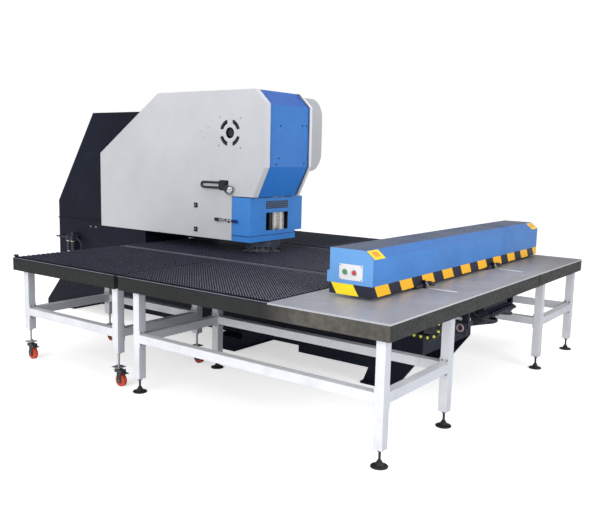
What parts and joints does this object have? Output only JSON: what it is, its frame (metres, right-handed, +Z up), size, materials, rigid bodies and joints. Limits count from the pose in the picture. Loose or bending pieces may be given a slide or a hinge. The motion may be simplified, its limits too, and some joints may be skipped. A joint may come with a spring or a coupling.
{
  "type": "cnc turret punch press",
  "caption": "Sheet-metal turret punch press: C-frame with a tool turret, brush tables on legs, and a clamp beam that feeds the sheet.",
  "frame": {"origin": "floor level under the middle of the machine's overall box", "axes": "X along the feed beam, +X to the operator's right; +Y from the tables' front edge back into the C-frame; +Z up"},
  "size_m": [3.74, 5.61, 2.43],
  "materials": {
    "frame_paint": "satin",
    "cover_paint": "satin",
    "nose_paint": "satin",
    "hood_paint": "satin",
    "beam_paint": "satin",
    "end_paint": "satin",
    "stripe_paint": "satin",
    "plate_paint": "satin",
    "skirt_paint": "satin",
    "stand_paint": "satin",
    "fork_paint": "satin",
    "motor_paint": "matte",
    "plate_steel": "brushed",
    "rail_steel": "ground",
    "ram_steel": "ground",
    "turret_steel": "blackened",
    "latch_steel": "zinc plated",
    "clamp_steel": "ground",
    "air_metal": "cast",
    "fan_plastic": "matte",
    "handle_plastic": "matte",
    "foot_plastic": "matte",
    "chain_plastic": "matte",
    "brush_plastic": "bristle",
    "green_plastic": "gloss",
    "red_plastic": "gloss",
    "wheel_rubber": "satin",
    "hose_rubber": "satin"
  },
  "bodies": {
    "frame": {"press_frame": "frame_paint", "left_side_cover": "cover_paint", "right_side_cover": "cover_paint", "nose_cover": "nose_paint", "top_cover": "cover_paint", "drive_cover": "cover_paint", "index_motor": "motor_paint", "fan_housing": "fan_plastic", "ram_cylinder": "ram_steel", "turret_bearings": "turret_steel", "latch_base": "latch_steel", "cover_locks": "handle_plastic", "lamp_bracket": "fan_plastic", "lamp_neck": "handle_plastic", "lamp_head": "handle_plastic", "air_unit": "air_metal", "air_hose": "hose_rubber", "guide_base": "frame_paint", "y_rails": "rail_steel", "y_motor": "motor_paint", "cable_chain": "chain_plastic", "table_left_front": "skirt_paint", "table_left_rear": "skirt_paint", "table_centre": "skirt_paint", "table_right_front": "skirt_paint", "table_right_rear": "skirt_paint", "front_plates": "plate_steel", "brush_banks": "brush_plastic", "stand_left_front": "stand_paint", "stand_left_rear": "stand_paint", "stand_right_front": "stand_paint", "stand_right_rear": "stand_paint", "levelling_feet": "foot_plastic", "caster_stems": "latch_steel", "casters_fixed": "fork_paint"},
    "y_carriage": {"y_saddle": "frame_paint", "x_beam": "beam_paint", "x_rails": "rail_steel", "beam_cover": "beam_paint", "beam_end_caps": "end_paint", "stripe_skirt": "stripe_paint", "button_plate": "plate_paint"},
    "x_carriage": {"x_carriage": "frame_paint", "clamp_bodies": "clamp_steel"},
    "jaw_left": {"clamp_jaw_left": "clamp_steel"},
    "jaw_right": {"clamp_jaw_right": "clamp_steel"},
    "x_screw": {"x_screw": "rail_steel"},
    "y_screw": {"y_screw": "rail_steel"},
    "start_button": {"start_button": "green_plastic"},
    "stop_button": {"stop_button": "red_plastic"},
    "upper_turret": {"upper_turret": "turret_steel"},
    "lower_turret": {"lower_turret": "turret_steel"},
    "ram": {"ram_striker": "ram_steel"},
    "hood": {"turret_hood": "hood_paint"},
    "latch": {"latch_lever": "handle_plastic"},
    "fan": {"fan_rotor": "fan_plastic"},
    "fork_front": {"caster_fork_front": "fork_paint"},
    "wheel_front": {"caster_wheel_front": "wheel_rubber"},
    "fork_rear": {"caster_fork_rear": "fork_paint"},
    "wheel_rear": {"caster_wheel_rear": "wheel_rubber"}
  },
  "joints": [
    {"name": "y_slide", "type": "slide", "parent": "frame", "child": "y_carriage", "axis": [0, 1, 0], "range_m": [-0.1, 1]},
    {"name": "x_slide", "type": "slide", "parent": "y_carriage", "child": "x_carriage", "axis": [1, 0, 0], "range_m": [-1.05, 1.05]},
    {"name": "jaw_left_swing", "type": "hinge", "parent": "x_carriage", "child": "jaw_left", "pos_m": [-0.155, -1.955, 0.95], "axis": [1, 0, 0], "range_deg": [0, 12]},
    {"name": "jaw_right_swing", "type": "hinge", "parent": "x_carriage", "child": "jaw_right", "pos_m": [0.545, -1.955, 0.95], "axis": [1, 0, 0], "range_deg": [0, 12]},
    {"name": "y_screw_turn", "type": "hinge", "parent": "frame", "child": "y_screw", "pos_m": [0, -1.5, 0.6], "axis": [0, 1, 0], "continuous": true},
    {"name": "x_screw_turn", "type": "hinge", "parent": "y_carriage", "child": "x_screw", "pos_m": [0, -2.07, 1.06], "axis": [1, 0, 0], "continuous": true},
    {"name": "start_press", "type": "slide", "parent": "y_carriage", "child": "start_button", "axis": [1, 0, 0], "range_m": [0, 0.004], "stiffness_N_per_m": 400, "springref_m": -0.002},
    {"name": "stop_press", "type": "slide", "parent": "y_carriage", "child": "stop_button", "axis": [1, 0, 0], "range_m": [0, 0.004], "stiffness_N_per_m": 400, "springref_m": -0.002},
    {"name": "upper_turret_spin", "type": "hinge", "parent": "frame", "child": "upper_turret", "pos_m": [0.1, -0.212, 1], "axis": [0, 0, 1], "continuous": true},
    {"name": "lower_turret_spin", "type": "hinge", "parent": "frame", "child": "lower_turret", "pos_m": [0.1, -0.212, 0.85], "axis": [0, 0, 1], "continuous": true},
    {"name": "ram_stroke", "type": "slide", "parent": "frame", "child": "ram", "axis": [0, 0, -1], "range_m": [0, 0.02]},
    {"name": "hood_swing", "type": "hinge", "parent": "frame", "child": "hood", "pos_m": [0.475, -0.203, 1.27], "axis": [0, 0, 1], "range_deg": [0, 100]},
    {"name": "latch_swing", "type": "hinge", "parent": "frame", "child": "latch", "pos_m": [-0.35, -0.099, 1.222], "axis": [0, 0, 1], "range_deg": [0, 110]},
    {"name": "fan_spin", "type": "hinge", "parent": "frame", "child": "fan", "pos_m": [-0.31, -0.164, 2.038], "axis": [1, 0, 0], "continuous": true},
    {"name": "fork_front_swivel", "type": "hinge", "parent": "frame", "child": "fork_front", "pos_m": [-1.803, -0.337, 0.15], "axis": [0, 0, 1], "continuous": true},
    {"name": "wheel_front_roll", "type": "hinge", "parent": "fork_front", "child": "wheel_front", "pos_m": [-1.803, -0.365, 0.05], "axis": [1, 0, 0], "continuous": true},
    {"name": "fork_rear_swivel", "type": "hinge", "parent": "frame", "child": "fork_rear", "pos_m": [-1.803, 0.858, 0.15], "axis": [0, 0, 1], "continuous": true},
    {"name": "wheel_rear_roll", "type": "hinge", "parent": "fork_rear", "child": "wheel_rear", "pos_m": [-1.803, 0.83, 0.05], "axis": [1, 0, 0], "continuous": true}
  ],
  "couplings": [
    {"joint": "jaw_right_swing", "follows": "jaw_left_swing", "ratio": 1},
    {"joint": "y_screw_turn", "follows": "y_slide", "rad_per_m": 157.08},
    {"joint": "x_screw_turn", "follows": "x_slide", "rad_per_m": 157.08},
    {"joint": "lower_turret_spin", "follows": "upper_turret_spin", "ratio": 1}
  ]
}
